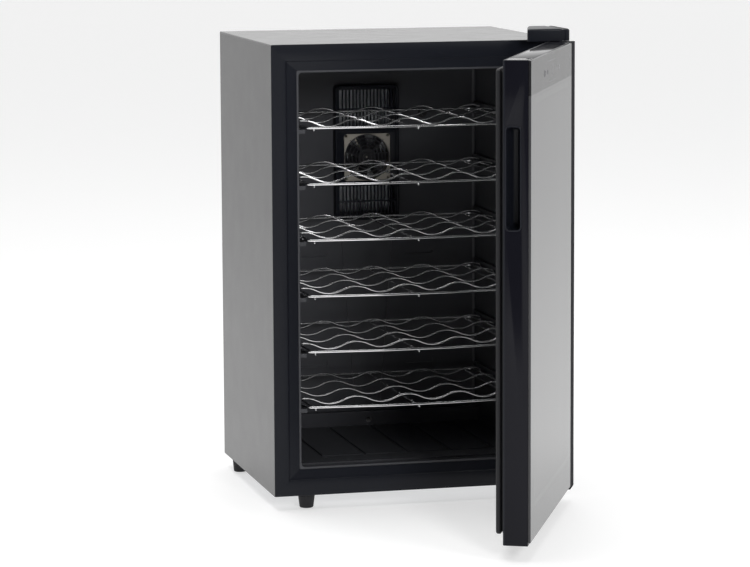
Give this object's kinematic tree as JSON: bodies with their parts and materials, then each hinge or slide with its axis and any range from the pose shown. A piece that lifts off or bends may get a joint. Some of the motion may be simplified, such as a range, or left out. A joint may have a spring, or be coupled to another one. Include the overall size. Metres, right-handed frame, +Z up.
{
  "type": "wine cooler",
  "caption": "Free-standing thermoelectric wine cooler with a mirror-glass door, a ribbed black liner, wavy chrome wire shelves, a wall fan cover and a louvred rear unit.",
  "frame": {"origin": "on the floor under the middle of the cabinet's front face, which with the door at its rest angle is also the middle of the footprint", "axes": "+X towards the hinge side, +Y towards the back, +Z up"},
  "size_m": [0.4699, 0.9006, 0.737],
  "materials": {
    "painted_steel": "satin",
    "zinc_steel": "satin",
    "black_moulding": "satin",
    "black_liner": "satin",
    "foam": "matte",
    "fan_plastic": "satin",
    "fan_frame_plastic": "satin",
    "aluminium": "satin",
    "ceramic_module": "matte",
    "circuit_board": "satin",
    "display_black": "gloss",
    "rubber_black": "matte",
    "magnet": "matte",
    "grey_plastic": "matte",
    "white_plastic": "satin",
    "clear_lens": "satin",
    "mirror_glass": "gloss",
    "clear_glass": "gloss",
    "door_profile": "satin",
    "chrome_wire": "polished",
    "plated_hardware": "satin"
  },
  "bodies": {
    "cabinet": {"outer_wrap": "painted_steel", "base_pan": "zinc_steel", "rear_panel": "zinc_steel", "front_frame": "black_moulding", "insulation_foam": "foam", "inner_liner": "black_liner", "left_shelf_runners": "black_liner", "right_shelf_runners": "black_liner", "fan_cover": "black_moulding", "fan_guard": "fan_plastic", "inner_fan_housing": "fan_frame_plastic", "cold_heatsink": "aluminium", "spacer_block": "aluminium", "peltier_module": "ceramic_module", "hot_heatsink": "aluminium", "rear_fan_housing": "fan_plastic", "rear_fan_guard": "fan_plastic", "rear_cover": "black_moulding", "rear_grilles": "black_moulding", "power_board": "circuit_board", "cord_gland": "rubber_black", "drip_tray": "grey_plastic", "drain_tube": "grey_plastic", "light_bar": "white_plastic", "light_lens": "clear_lens", "temperature_sensor": "fan_plastic", "rear_feet": "rubber_black", "leveller_nuts": "plated_hardware", "top_hinge_bracket": "zinc_steel", "bottom_hinge_bracket": "zinc_steel", "top_hinge_pin": "plated_hardware", "bottom_hinge_pin": "plated_hardware", "hinge_cover": "black_moulding", "hinge_screws": "plated_hardware", "rear_screws": "plated_hardware"},
    "door": {"door_glass": "mirror_glass", "inner_glass": "clear_glass", "pane_spacer": "aluminium", "free_stile": "door_profile", "hinge_stile": "door_profile", "top_rail": "door_profile", "bottom_rail": "door_profile", "door_trim": "black_moulding", "door_gasket": "rubber_black", "gasket_magnets": "magnet", "grip_cup": "black_moulding", "touch_board": "circuit_board", "display_module": "display_black", "hinge_bushes": "grey_plastic"},
    "inner_fan": {"inner_fan_rotor": "fan_plastic"},
    "rear_fan": {"rear_fan_rotor": "fan_plastic"},
    "left_leveller": {"leveller_left": "rubber_black"},
    "right_leveller": {"leveller_right": "rubber_black"},
    "shelf_1": {"shelf_1": "chrome_wire"},
    "shelf_2": {"shelf_2": "chrome_wire"},
    "shelf_3": {"shelf_3": "chrome_wire"},
    "shelf_4": {"shelf_4": "chrome_wire"},
    "shelf_5": {"shelf_5": "chrome_wire"},
    "shelf_6": {"shelf_6": "chrome_wire"}
  },
  "joints": [
    {"name": "door_hinge", "type": "hinge", "parent": "cabinet", "child": "door", "pos_m": [0.221, -0.036, 0.022], "axis": [0, 0, 1], "range_deg": [-64.7, 50]},
    {"name": "shelf_1_slide", "type": "slide", "parent": "cabinet", "child": "shelf_1", "axis": [0, -1, 0], "range_m": [0, 0.05]},
    {"name": "shelf_2_slide", "type": "slide", "parent": "cabinet", "child": "shelf_2", "axis": [0, -1, 0], "range_m": [0, 0.05]},
    {"name": "shelf_3_slide", "type": "slide", "parent": "cabinet", "child": "shelf_3", "axis": [0, -1, 0], "range_m": [0, 0.05]},
    {"name": "shelf_4_slide", "type": "slide", "parent": "cabinet", "child": "shelf_4", "axis": [0, -1, 0], "range_m": [0, 0.05]},
    {"name": "shelf_5_slide", "type": "slide", "parent": "cabinet", "child": "shelf_5", "axis": [0, -1, 0], "range_m": [0, 0.05]},
    {"name": "shelf_6_slide", "type": "slide", "parent": "cabinet", "child": "shelf_6", "axis": [0, -1, 0], "range_m": [0, 0.05]},
    {"name": "inner_fan_spin", "type": "hinge", "parent": "cabinet", "child": "inner_fan", "pos_m": [0, 0.33, 0.512], "axis": [0, 1, 0], "continuous": true},
    {"name": "rear_fan_spin", "type": "hinge", "parent": "cabinet", "child": "rear_fan", "pos_m": [0, 0.425, 0.512], "axis": [0, 1, 0], "continuous": true},
    {"name": "left_leveller_screw", "type": "slide", "parent": "cabinet", "child": "left_leveller", "axis": [0, 0, -1], "range_m": [0, 0.01]},
    {"name": "right_leveller_screw", "type": "slide", "parent": "cabinet", "child": "right_leveller", "axis": [0, 0, -1], "range_m": [0, 0.01]}
  ]
}
